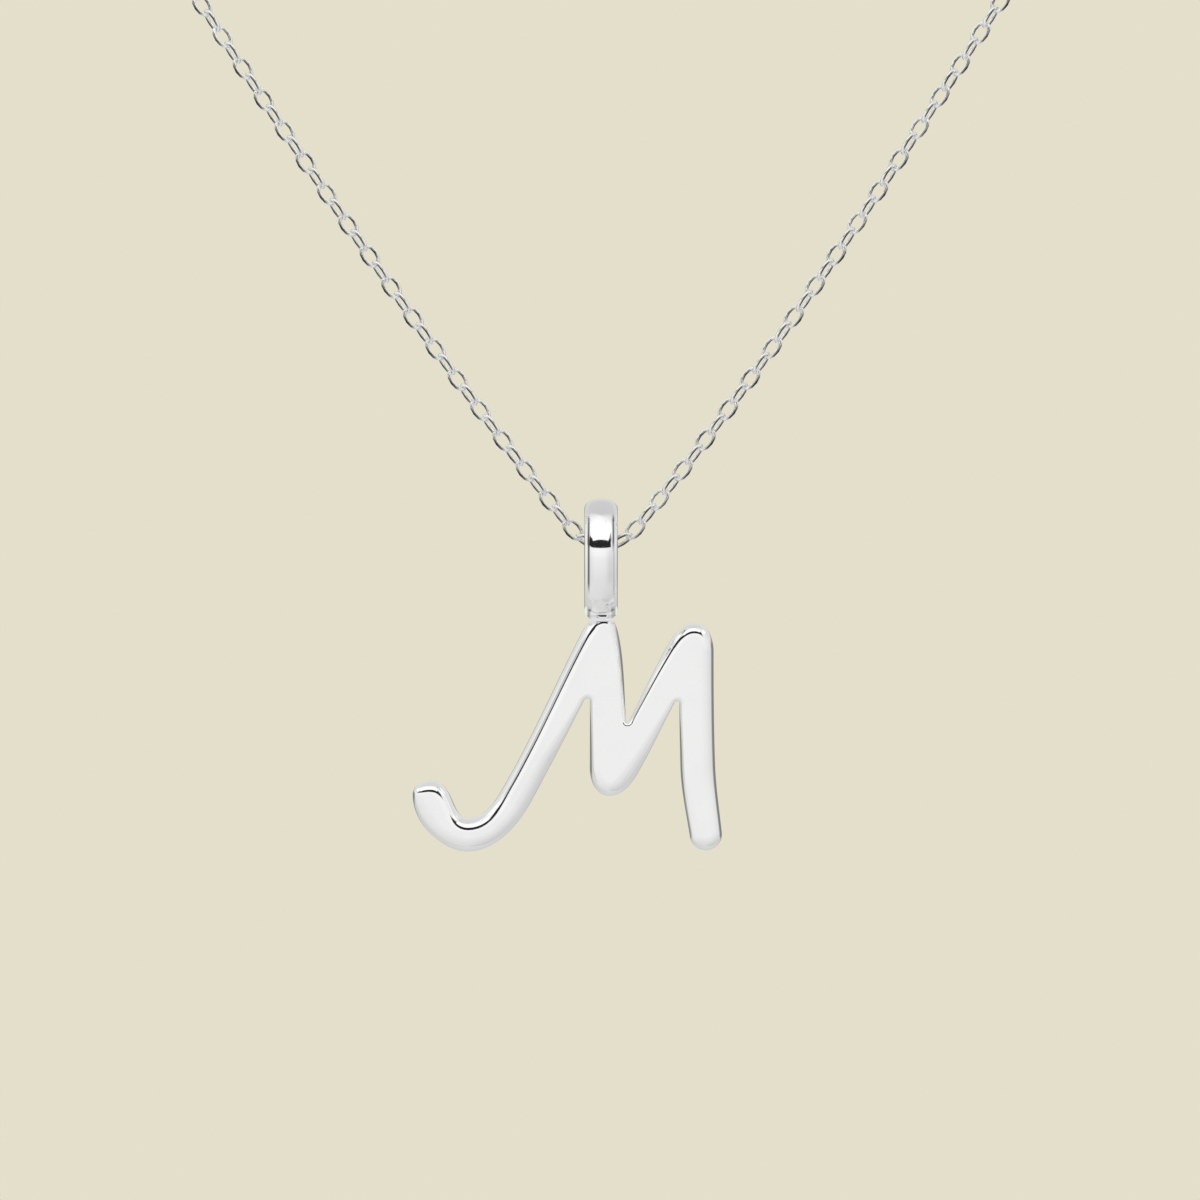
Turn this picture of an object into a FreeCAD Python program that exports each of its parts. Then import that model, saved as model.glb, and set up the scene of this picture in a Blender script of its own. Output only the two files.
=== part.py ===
"""An initial pendant: a polished script letter under a ring bail, on a fine cable chain.

Lengths are in millimetres. The origin is the middle of the clasp, where the chain lies on the
nape. +Z is up, -Y is the front, and the letter faces the front, hanging below the bail.
"""
import FreeCAD, Part
import math
import os

import Sketcher

Vector = FreeCAD.Vector

# Driving dimensions: name, value, what it is
SIZES = [
    ("hang_depth", 112.0, "nape to the plane in which the pendant hangs"),
    ("hang_drop", 104.0, "nape down to the chain's lowest point"),
    ("hang_offset", 0.74, "chain's line above the middle of the bail"),
    ("bail_outer_radius", 3.56, "outside of the ring bail"),
    ("bail_bore_radius", 1.96, "hole that the chain runs through"),
    ("bail_width", 2.0, "bail along the chain"),
    ("bail_crown_radius", 1.7, "crown across the bail's outside"),
    ("bail_edge_radius", 0.35, "rounding of the bail's outer edges"),
    ("bail_bore_edge_radius", 0.15, "rounding of the bore's edges"),
    ("letter_drop", 17.64, "middle of the bail down to the letter's base line"),
    ("letter_thickness", 1.7, "letter, front to back"),
    ("letter_front_radius", 0.6, "rounding of the letter's front edge"),
    ("letter_back_radius", 0.3, "rounding of the letter's back edge"),
    ("chain_diameter", 1.0, "space that the chain's turned links fill"),
    ("clasp_ring_radius", 2.0, "middle of the clasp's ring wire"),
    ("clasp_wire_radius", 0.5, "wire of the clasp's ring"),
    ("clasp_eye_offset", 3.2, "middle of the clasp to the middle of an eye"),
    ("clasp_eye_radius", 0.65, "middle of the eye's wire"),
    ("clasp_eye_wire_radius", 0.2, "wire of the clasp's eyes"),
]

# The letter's edge, once round: place, x, height over the base line, heading in degrees.
# Each span between two rows is one curve that leaves and arrives on the stated headings.
LETTER_EDGE = [
    ("hook tip, left", -11.30, 3.42, 90),
    ("hook tip, top", -10.12, 4.27, 0),
    ("hook tip, right", -9.00, 3.26, -65),
    ("hook, inside", -7.98, 2.02, 0),
    ("rise, upper start", -5.70, 4.25, 58),
    ("rise, upper end", -1.26, 12.77, 62.5),
    ("first apex", 0.15, 14.32, 0),
    ("first apex, right", 1.12, 13.02, -85),
    ("upper notch, left", 1.50, 7.90, -86),
    ("upper notch, right", 1.72, 7.90, 63),
    ("second rise, upper", 4.02, 12.42, 60),
    ("second apex", 5.61, 13.72, 0),
    ("second apex, right", 6.76, 11.99, -90),
    ("leg, outside", 6.85, 5.21, -88),
    ("leg end, right", 7.25, 1.15, -84),
    ("leg end", 6.30, 0.08, 180),
    ("leg end, left", 5.34, 0.89, 99),
    ("leg, inside", 4.76, 5.27, 91),
    ("right notch, right", 4.70, 8.90, 90),
    ("right notch, left", 4.40, 8.93, -118),
    ("second rise, lower", 2.52, 5.27, -119),
    ("middle foot", 0.51, 3.34, 180),
    ("middle foot, left", -0.67, 5.03, 90),
    ("left notch, right", -0.66, 9.05, 90),
    ("left notch, left", -1.03, 9.05, -117),
    ("rise, lower", -3.33, 4.63, -118.5),
    ("hook, lower right", -4.58, 2.36, -123),
    ("hook, underside", -8.04, 0.00, 180),
    ("hook, lower left", -9.66, 0.60, 144),
    ("hook, outside", -10.86, 1.84, 120),
]

# The chain's route down its right half, from the bail to the clasp: x, y, z
RIGHT_ROUTE = [
    (0.80, -112.0, -104.0),
    (2.86, -112.0, -101.55),
    (6.78, -112.0, -96.62),
    (13.92, -112.0, -86.97),
    (24.80, -111.4, -70.2),
    (36.00, -108.0, -52.0),
    (47.00, -96.5, -32.5),
    (55.50, -77.0, -17.0),
    (58.50, -53.0, -7.5),
    (53.00, -30.0, -3.0),
    (38.50, -11.8, -1.0),
    (20.50, -2.0, -0.2),
    (4.25, 0.0, 0.0),
]

# Share of a corner's shorter run that its arc takes
ARC_SHARE = 0.45


def fill_sheet(doc):
    """Put each driving dimension in the sheet as a plain number with an alias."""
    sheet = doc.addObject("Spreadsheet::Sheet", "Sizes")
    for row, (name, value, note) in enumerate(SIZES, start=1):
        sheet.set(f"A{row}", name)
        sheet.set(f"B{row}", str(value))
        sheet.set(f"C{row}", note)
        sheet.setAlias(f"B{row}", name)
    doc.recompute()
    return sheet


def origin_feature(body, role):
    """The body's own plane or axis of this role."""
    return next(feature for feature in body.Origin.OriginFeatures if feature.Role == role)


def front_sketch(body, name):
    """A sketch on the body's front plane: its x is X, and its y is Z."""
    sketch = body.newObject("Sketcher::SketchObject", name)
    sketch.AttachmentSupport = [(origin_feature(body, "XZ_Plane"), "")]
    sketch.MapMode = "FlatFace"
    return sketch


def edge_span(start, end):
    """One curve of the letter's edge, with handles as long as a circle's arc would have."""
    _, x_start, z_start, heading_start = start
    _, x_end, z_end, heading_end = end
    begin, finish = Vector(x_start, z_start, 0), Vector(x_end, z_end, 0)
    turn = (heading_end - heading_start + 180) % 360 - 180
    chord = (finish - begin).Length
    handle = 2 / 3 * chord / (1 + math.cos(math.radians(turn / 2)))
    leaving = Vector(math.cos(math.radians(heading_start)), math.sin(math.radians(heading_start)), 0)
    arriving = Vector(math.cos(math.radians(heading_end)), math.sin(math.radians(heading_end)), 0)
    curve = Part.BezierCurve()
    curve.setPoles([begin, begin + leaving * handle, finish - arriving * handle, finish])
    return curve.toBSpline()


def draw_letter(sketch):
    """The letter's closed edge, each span held where the table puts it."""
    following = LETTER_EDGE[1:] + LETTER_EDGE[:1]
    for index, (start, end) in enumerate(zip(LETTER_EDGE, following)):
        sketch.addGeometry(edge_span(start, end))
        sketch.addConstraint(Sketcher.Constraint("Block", index))


def draw_bail_section(sketch, size):
    """The bail's crowned section above the X axis, its radii and places bound to the sheet."""
    half, bore = size.bail_width / 2, size.bail_bore_radius
    crown, edge, inner = size.bail_crown_radius, size.bail_edge_radius, size.bail_bore_edge_radius
    crown_middle = size.bail_outer_radius - crown
    edge_middle = crown_middle + math.sqrt((crown - edge) ** 2 - (half - edge) ** 2)
    lean = math.atan2(edge_middle - crown_middle, half - edge)
    quarter = math.pi / 2

    def arc(x, z, radius, first, last):
        return Part.ArcOfCircle(Part.Circle(Vector(x, z, 0), Vector(0, 0, 1), radius), first, last)

    def line(x_start, z_start, x_end, z_end):
        return Part.LineSegment(Vector(x_start, z_start, 0), Vector(x_end, z_end, 0))

    sketch.addGeometry([
        line(-half + inner, bore, half - inner, bore),
        arc(half - inner, bore + inner, inner, -quarter, 0),
        line(half, bore + inner, half, edge_middle),
        arc(half - edge, edge_middle, edge, 0, lean),
        arc(0, crown_middle, crown, lean, math.pi - lean),
        arc(-half + edge, edge_middle, edge, math.pi - lean, math.pi),
        line(-half, edge_middle, -half, bore + inner),
        arc(-half + inner, bore + inner, inner, math.pi, 3 * quarter),
    ])
    start, end, middle = 1, 2, 3
    x_axis, z_axis, root = -1, -2, 1
    bore_line, crown_arc = 0, 4
    for index in range(8):
        here, after = (index, end), ((index + 1) % 8, start)
        sketch.addConstraint(Sketcher.Constraint("Tangent", *here, *after))
    for index in (2, 6):
        sketch.addConstraint(Sketcher.Constraint("Vertical", index))
    sketch.addConstraint(Sketcher.Constraint("Horizontal", bore_line))
    sketch.addConstraint(Sketcher.Constraint("Equal", 1, 7))
    sketch.addConstraint(Sketcher.Constraint("Equal", 3, 5))
    sketch.addConstraint(Sketcher.Constraint("PointOnObject", crown_arc, middle, z_axis))
    bound = [
        (Sketcher.Constraint("Radius", 1, inner), "bail_bore_edge_radius"),
        (Sketcher.Constraint("Radius", 3, edge), "bail_edge_radius"),
        (Sketcher.Constraint("Radius", crown_arc, crown), "bail_crown_radius"),
        (Sketcher.Constraint("DistanceY", x_axis, root, crown_arc, middle, crown_middle),
         "bail_outer_radius - Sizes.bail_crown_radius"),
        (Sketcher.Constraint("DistanceY", x_axis, root, bore_line, start, bore), "bail_bore_radius"),
        (Sketcher.Constraint("DistanceX", 6, start, 2, end, 2 * half), "bail_width"),
    ]
    for constraint, cell in bound:
        index = sketch.addConstraint(constraint)
        sketch.setExpression(f"Constraints[{index}]", f"Sizes.{cell}")


def edges_on_face(shape, depth):
    """Names of the edges that lie wholly in the plane y = depth."""
    found = []
    for index, edge in enumerate(shape.Edges, start=1):
        box = edge.BoundBox
        if abs(box.YMin - depth) < 1e-4 and abs(box.YMax - depth) < 1e-4:
            found.append(f"Edge{index}")
    return found


def round_face(body, name, base, depth, cell):
    """Round all of a pad's edge at one depth, front or back."""
    fillet = body.newObject("PartDesign::Fillet", name)
    fillet.Base = (base, edges_on_face(base.Shape, depth))
    fillet.setExpression("Radius", f"Sizes.{cell}")
    body.Document.recompute()
    return fillet


def make_pendant(doc, size):
    """The letter and its bail: one cast and soldered piece."""
    body = doc.addObject("PartDesign::Body", "PendantBody")
    body.Label = "initial_pendant"

    outline = front_sketch(body, "LetterOutline")
    draw_letter(outline)
    outline.setExpression(".AttachmentOffset.Base.y", "-Sizes.letter_drop")
    letter = body.newObject("PartDesign::Pad", "Letter")
    letter.Profile = outline
    letter.SideType = "Symmetric"
    letter.setExpression("Length", "Sizes.letter_thickness")
    doc.recompute()
    half = size.letter_thickness / 2
    front = round_face(body, "FrontRounding", letter, -half, "letter_front_radius")
    round_face(body, "BackRounding", front, half, "letter_back_radius")

    section = front_sketch(body, "BailSection")
    draw_bail_section(section, size)
    bail = body.newObject("PartDesign::Revolution", "Bail")
    bail.Profile = section
    bail.ReferenceAxis = (origin_feature(body, "X_Axis"), [""])
    bail.Angle = 360
    body.Tip = bail

    body.setExpression(".Placement.Base.y", "-Sizes.hang_depth")
    body.setExpression(".Placement.Base.z", "-Sizes.hang_drop - Sizes.hang_offset")
    doc.recompute()
    return body


def rounded_path(points):
    """Straight runs joined by tangent arcs, and the radius of each arc."""
    edges, radii = [], []
    reached = points[0]
    for before, corner, after in zip(points, points[1:], points[2:]):
        back, ahead = before - corner, after - corner
        shorter = min(back.Length, ahead.Length)
        turn = math.pi - back.getAngle(ahead)
        cut = ARC_SHARE * shorter
        radius = cut / math.tan(turn / 2)
        back.normalize()
        ahead.normalize()
        enter, leave = corner + back * cut, corner + ahead * cut
        inward = (back + ahead).normalize()
        deepest = corner + inward * (radius / math.cos(turn / 2) - radius)
        edges.append(Part.LineSegment(reached, enter).toShape())
        edges.append(Part.Arc(enter, deepest, leave).toShape())
        radii.append(radius)
        reached = leave
    edges.append(Part.LineSegment(reached, points[-1]).toShape())
    return Part.Wire(edges), radii


def make_chain(doc, size):
    """The chain's whole loop, from one of the clasp's eyes to the other through the bail."""
    right = [Vector(*row) for row in RIGHT_ROUTE]
    left = [Vector(-point.x, point.y, point.z) for point in right]
    points = list(reversed(left)) + right
    path, radii = rounded_path(points)
    radius = size.chain_diameter / 2
    ring = Part.Wire(Part.makeCircle(radius, points[0], points[1] - points[0]))
    tube = path.makePipeShell([ring], True, False)
    chain = doc.addObject("Part::Feature", "Chain")
    chain.Label = "chain"
    chain.Shape = tube
    expected = math.pi * radius ** 2 * path.Length
    print(f"chain length {path.Length:.1f}, volume {tube.Volume:.1f} against {expected:.1f}")
    print("chain radii", ", ".join(f"{value:.1f}" for value in radii))
    return chain


def make_clasp(doc):
    """The closed clasp: a ring with an eye at each side for the chain's end links."""
    def ring(name, major, minor):
        torus = doc.addObject("Part::Torus", name)
        torus.setExpression("Radius1", f"Sizes.{major}")
        torus.setExpression("Radius2", f"Sizes.{minor}")
        torus.Placement.Rotation = FreeCAD.Rotation(Vector(1, 0, 0), 90)
        return torus

    pieces = [ring("ClaspRing", "clasp_ring_radius", "clasp_wire_radius")]
    for name, sign in (("RightEye", ""), ("LeftEye", "-")):
        eye = ring(name, "clasp_eye_radius", "clasp_eye_wire_radius")
        eye.setExpression(".Placement.Base.x", f"{sign}Sizes.clasp_eye_offset")
        pieces.append(eye)
    clasp = doc.addObject("Part::MultiFuse", "Clasp")
    clasp.Shapes = pieces
    clasp.Label = "clasp"
    doc.recompute()
    return clasp


def check(doc, nodes):
    """Stop if an object failed or a piece is not one valid solid."""
    for thing in doc.Objects:
        if "Invalid" in thing.State or "Error" in thing.State:
            raise RuntimeError(f"{thing.Name} failed: {thing.State}")
    for node in nodes:
        shape = node.Shape
        if shape.isNull() or not shape.isValid() or len(shape.Solids) != 1:
            raise RuntimeError(f"{node.Label} is not one valid solid")


def main():
    doc = FreeCAD.newDocument("InitialPendant")
    size = fill_sheet(doc)
    nodes = [make_pendant(doc, size), make_chain(doc, size), make_clasp(doc)]
    doc.recompute()
    check(doc, nodes)
    os.makedirs("parts", exist_ok=True)
    for node in nodes:
        node.Shape.exportStep(f"parts/{node.Label}.step")
        box = node.Shape.BoundBox
        print(f"{node.Label}: volume {node.Shape.Volume:.2f}, box {box}")


main()
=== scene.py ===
"""Looks of an initial pendant: a polished script letter under a ring bail on a fine cable chain.

Lengths are in metres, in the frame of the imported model: the origin is the middle of the clasp on
the nape, +Z is up, and the letter faces the front, -Y.
"""
from __future__ import annotations

import logging
import math
from dataclasses import dataclass
from enum import Enum
from typing import Callable

import bmesh
import bpy
import numpy as np
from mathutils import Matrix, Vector


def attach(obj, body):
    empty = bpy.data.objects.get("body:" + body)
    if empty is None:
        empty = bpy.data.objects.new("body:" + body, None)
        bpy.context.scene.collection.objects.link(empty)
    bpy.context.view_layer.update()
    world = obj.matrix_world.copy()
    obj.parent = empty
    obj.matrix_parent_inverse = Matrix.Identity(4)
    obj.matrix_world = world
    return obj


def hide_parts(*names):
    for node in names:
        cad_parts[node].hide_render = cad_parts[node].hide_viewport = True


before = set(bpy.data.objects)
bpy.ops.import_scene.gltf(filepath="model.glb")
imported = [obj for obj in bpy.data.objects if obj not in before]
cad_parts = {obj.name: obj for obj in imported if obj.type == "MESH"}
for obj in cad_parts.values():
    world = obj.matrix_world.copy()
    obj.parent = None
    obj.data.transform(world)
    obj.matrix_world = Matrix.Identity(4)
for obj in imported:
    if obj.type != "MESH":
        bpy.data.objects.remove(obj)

log = logging.getLogger("initial_pendant")

MM = 0.001

# Where the chain's line crosses the middle of the bail
HANG = Vector((0.0, -112.0 * MM, -104.0 * MM))

# Vertices nearer to each other than this are one
MERGED = 0.0005 * MM

# The chain's attribute that says where its wire gets painted shade: a near-black colour on the lower sides
# of the links, standing in for dark reflections
PAINTED_SHADE_SIDE = "painted shade side"


class Node(Enum):
    """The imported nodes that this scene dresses."""

    PENDANT = "initial_pendant"
    CHAIN = "chain"
    CLASP = "clasp"


class Body(Enum):
    """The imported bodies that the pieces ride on."""

    NECKLACE = "necklace"
    PENDANT = "pendant"


class Bench:
    """Selecting, editing and joining, as done by hand."""

    @staticmethod
    def clear() -> None:
        """Leave edit mode and deselect everything."""
        if bpy.context.object and bpy.context.object.mode != "OBJECT":
            bpy.ops.object.mode_set(mode="OBJECT")
        bpy.ops.object.select_all(action="DESELECT")

    @staticmethod
    def take(piece: bpy.types.Object) -> None:
        """Make one piece the only selected and the active one.

        Args:
            piece: the object to work on.
        """
        Bench.clear()
        piece.select_set(True)
        bpy.context.view_layer.objects.active = piece

    @staticmethod
    def settle(piece: bpy.types.Object, name: str) -> None:
        """Name a new piece and put its place into its mesh.

        Args:
            piece: the object to settle.
            name: its plain name.
        """
        Bench.take(piece)
        bpy.ops.object.transform_apply(location=True, rotation=True, scale=True)
        piece.name = name
        piece.data.name = name

    @staticmethod
    def unite(piece: bpy.types.Object, other: bpy.types.Object) -> None:
        """Fuse another closed piece into this one and remove it.

        Args:
            piece: the object that stays.
            other: the object that becomes part of it.
        """
        Bench.take(piece)
        bpy.ops.object.modifier_add(type="BOOLEAN")
        modifier = piece.modifiers[-1]
        modifier.operation = "UNION"
        modifier.solver = "EXACT"
        modifier.object = other
        bpy.ops.object.modifier_apply(modifier=modifier.name)
        bpy.data.objects.remove(other, do_unlink=True)

    @staticmethod
    def face_outwards(piece: bpy.types.Object) -> None:
        """Merge doubles and turn every face outwards.

        Args:
            piece: a closed piece.
        """
        Bench.take(piece)
        bpy.ops.object.mode_set(mode="EDIT")
        bpy.ops.mesh.select_all(action="SELECT")
        bpy.ops.mesh.remove_doubles(threshold=MERGED)
        bpy.ops.mesh.normals_make_consistent(inside=False)
        bpy.ops.object.mode_set(mode="OBJECT")

    @staticmethod
    def pick(piece: bpy.types.Object, kind: str, wanted: Callable[[object], bool]) -> None:
        """Select the vertices or edges that pass a test.

        Args:
            piece: the object, in edit mode.
            kind: "verts" or "edges".
            wanted: the test of one of them.
        """
        bpy.ops.mesh.select_all(action="DESELECT")
        edit = bmesh.from_edit_mesh(piece.data)
        for part in getattr(edit, kind):
            part.select = wanted(part)
        if kind == "verts":
            edit.select_flush(True)
        bmesh.update_edit_mesh(piece.data)


@dataclass
class ScriptLetter:
    """The letter: a flat-backed slab with a softly rounded front edge."""

    thickness: float = 1.7 * MM
    base_below_hang: float = 18.38 * MM
    back_radius: float = 0.3 * MM
    round_deepest: float = 1.35 * MM
    round_tilts: tuple[int, ...] = (
        0, 3, 6, 9, 12, 15, 18, 22, 27, 33, 40, 46, 52, 58, 62, 67, 74, 82, 90)
    # Up to each tilt, in degrees, the rounding's radius as a share of its width: a soft shoulder,
    # a tighter turn and a wall that leans out a little towards the back
    round_radii: tuple[tuple[int, float], ...] = (
        (9, 0.80), (18, 1.35), (40, 0.62), (67, 1.066), (90, 2.09))
    back_steps: int = 5
    span_steps: int = 16
    flat_margin: float = 0.04 * MM
    back_margin: float = 1.3
    # The widest circle inside the edge at a station: the radii tried, in millimetres, the least
    # one, how near the edge may come to it, and how much of it the rounding takes
    fit_trials: tuple[float, float, float] = (0.12, 1.5, 0.02)
    fit_least: float = 0.1 * MM
    fit_slack: float = 0.99
    fit_share: float = 0.93
    smoothing_reach: int = 4

    # Once round the edge: place, x, height over the base line, heading in degrees, width of the
    # front edge's rounding there
    edge: tuple[tuple[str, float, float, float, float], ...] = (
        ("hook tip, left", -11.30, 3.42, 90, 0.80),
        ("hook tip, top", -10.12, 4.27, 0, 0.85),
        ("hook tip, right", -9.00, 3.26, -65, 0.72),
        ("hook, inside", -7.98, 2.02, 0, 0.85),
        ("rise, upper start", -5.65, 4.25, 60, 0.72),
        ("rise, upper end", -1.13, 13.21, 62.5, 0.76),
        ("first apex", 0.15, 14.20, 0, 0.98),
        ("first apex, right", 1.05, 13.05, -78, 0.78),
        ("upper notch, left", 1.50, 7.90, -86, 0.34),
        ("upper notch, right", 1.72, 7.90, 63, 0.30),
        ("second rise, upper", 4.02, 12.42, 60, 0.66),
        ("second apex", 5.61, 13.72, 0, 0.70),
        ("second apex, right", 6.76, 11.99, -90, 0.74),
        ("leg, outside", 6.85, 5.21, -88, 0.75),
        ("leg end, right", 7.25, 1.15, -84, 0.68),
        ("leg end", 6.30, 0.08, 180, 0.82),
        ("leg end, left", 5.34, 0.89, 99, 0.64),
        ("leg, inside", 4.76, 5.27, 91, 0.56),
        ("right notch, right", 4.70, 8.90, 90, 0.36),
        ("right notch, left", 4.40, 8.93, -118, 0.26),
        ("second rise, lower", 2.52, 5.27, -119, 0.78),
        ("middle foot", 0.51, 3.34, 180, 1.08),
        ("middle foot, left", -0.67, 5.03, 90, 0.62),
        ("left notch, right", -0.66, 9.05, 90, 0.36),
        ("left notch, left", -1.03, 9.05, -117, 0.26),
        ("rise, lower", -3.33, 4.63, -118.5, 0.88),
        ("hook, lower right", -4.58, 2.36, -123, 1.02),
        ("hook, underside", -8.04, 0.00, 180, 1.12),
        ("hook, lower left", -9.66, 0.60, 144, 1.06),
        ("hook, outside", -10.86, 1.84, 120, 0.95),
    )

    def place(self, x: float, height: float) -> Vector:
        """A point of the letter's middle plane, from the table's millimetres."""
        return HANG + Vector((x * MM, 0.0, height * MM - self.base_below_hang))

    def draw_edge(self) -> bpy.types.Object:
        """Draw the closed edge as a curve and make it a ring of vertices.

        Returns:
            The ring, one vertex a station, in the letter's middle plane.
        """
        Bench.clear()
        bpy.ops.curve.primitive_bezier_circle_add(radius=MM)
        ring = bpy.context.object
        spline = ring.data.splines[0]
        spline.bezier_points.add(len(self.edge) - len(spline.bezier_points))
        points = [self.place(x, height) for _, x, height, _, _ in self.edge]
        headings = [math.radians(heading) for _, _, _, heading, _ in self.edge]
        for index, (start, heading) in enumerate(zip(points, headings)):
            after = (index + 1) % len(points)
            turn = (headings[after] - heading + math.pi) % math.tau - math.pi
            handle = 2 / 3 * (points[after] - start).length / (1 + math.cos(turn / 2))
            leaving = Vector((math.cos(heading), 0.0, math.sin(heading)))
            arriving = Vector((math.cos(headings[after]), 0.0, math.sin(headings[after])))
            here, there = spline.bezier_points[index], spline.bezier_points[after]
            here.handle_right_type = there.handle_left_type = "FREE"
            here.co = start
            here.handle_right = start + leaving * handle
            there.handle_left = points[after] - arriving * handle
        ring.location = (0.0, 0.0, 0.0)
        ring.data.resolution_u = self.span_steps
        bpy.ops.object.convert(target="MESH")
        return bpy.context.object

    def rounding(self, ring: np.ndarray, inward: np.ndarray) -> np.ndarray:
        """How far the front edge is rounded at each station.

        Args:
            ring: the edge's stations.
            inward: unit directions into the letter.

        Returns:
            The width of the rounding, in metres, between its values at the named places, and less
            where a turn of the edge is too tight for it.
        """
        given = np.array([row[4] for row in self.edge]) * MM
        share = np.arange(self.span_steps) / self.span_steps
        width = (given[:, None] * (1 - share) + np.roll(given, -1)[:, None] * share).ravel()
        fits = np.full(len(ring), self.fit_least)
        for trial in np.arange(*self.fit_trials) * MM:
            middles = ring + inward * trial
            nearest = np.linalg.norm(middles[:, None, :] - ring[None, :, :], axis=2).min(axis=1)
            fits[nearest > trial * self.fit_slack] = trial
        shifts = range(-self.smoothing_reach, self.smoothing_reach + 1)
        fits = np.min([np.roll(fits, shift) for shift in shifts], axis=0)
        width = np.minimum(width, fits * self.fit_share - self.flat_margin)
        return np.mean([np.roll(width, shift) for shift in shifts], axis=0)

    def profile(self) -> tuple[np.ndarray, np.ndarray]:
        """The rounding's section, for a width of 1.

        Returns:
            At each tilt, the distance in from the edge and the depth behind the front.
        """
        tilts = np.radians(self.round_tilts)
        covered, depth = [0.0], [0.0]
        for before, after in zip(tilts, tilts[1:]):
            radius = next(share for limit, share in self.round_radii if after <= math.radians(limit) + 1e-6)
            covered.append(covered[-1] + radius * (math.sin(after) - math.sin(before)))
            depth.append(depth[-1] + radius * (math.cos(before) - math.cos(after)))
        return 1.0 - np.array(covered) / covered[-1], np.array(depth) / covered[-1]

    def sections(self, ring: np.ndarray) -> list[np.ndarray]:
        """Every ring of the slab, from the front's flat to the back's.

        Args:
            ring: the edge's stations, as (x, y, z) rows.

        Returns:
            One array of places a ring, in the stations' order.
        """
        tangent = np.roll(ring, -1, axis=0) - np.roll(ring, 1, axis=0)
        tangent /= np.linalg.norm(tangent, axis=1)[:, None]
        inward = np.stack([tangent[:, 2], np.zeros(len(ring)), -tangent[:, 0]], axis=1)
        width = self.rounding(ring, inward)
        insets, depths = self.profile()
        depth = np.minimum(width, self.round_deepest / depths[-1])
        front = HANG.y - self.thickness / 2
        back = HANG.y + self.thickness / 2
        steps: list[tuple[object, object]] = [(width + self.flat_margin, front)]
        steps += [(width * inset, front + depth * behind) for inset, behind in zip(insets, depths)]
        for angle in np.linspace(0.0, math.pi / 2, self.back_steps + 1):
            steps.append((self.back_radius * (1 - math.cos(angle)),
                          back - self.back_radius * (1 - math.sin(angle))))
        steps.append((self.back_radius * self.back_margin, back))
        rings = []
        for inset, y in steps:
            places = ring + inward * np.reshape(inset, (-1, 1))
            places[:, 1] = y
            rings.append(places)
        return rings

    def build(self) -> bpy.types.Object:
        """Fill the edge and extrude it from ring to ring.

        Returns:
            The closed letter.
        """
        letter = self.draw_edge()
        mesh = letter.data
        stations = len(mesh.vertices)
        ring = np.empty(stations * 3)
        mesh.vertices.foreach_get("co", ring)
        rings = self.sections(ring.reshape(stations, 3))
        mesh.vertices.foreach_set("co", rings[0].ravel())
        mark = mesh.attributes.new("station", "INT", "POINT")
        mark.data.foreach_set("value", np.arange(stations, dtype=np.int32))
        Bench.take(letter)
        bpy.ops.object.mode_set(mode="EDIT")
        bpy.ops.mesh.select_all(action="SELECT")
        bpy.ops.mesh.edge_face_add()
        for places in rings[1:]:
            bpy.ops.mesh.extrude_region_move()
            edit = bmesh.from_edit_mesh(mesh)
            layer = edit.verts.layers.int["station"]
            for vertex in edit.verts:
                if vertex.select:
                    vertex.co = places[vertex[layer]]
            bmesh.update_edit_mesh(mesh)
        edit = bmesh.from_edit_mesh(mesh)
        edit.verts.ensure_lookup_table()
        for vertex in edit.verts:
            vertex.select = False
        for edge in edit.edges:
            edge.select = edge.is_boundary
        edit.select_flush(True)
        bmesh.update_edit_mesh(mesh)
        bpy.ops.mesh.edge_face_add()
        bpy.ops.mesh.select_all(action="SELECT")
        bpy.ops.mesh.normals_make_consistent(inside=False)
        bpy.ops.object.mode_set(mode="OBJECT")
        mesh.attributes.remove(mesh.attributes["station"])
        Bench.settle(letter, "letter")
        return letter


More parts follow.
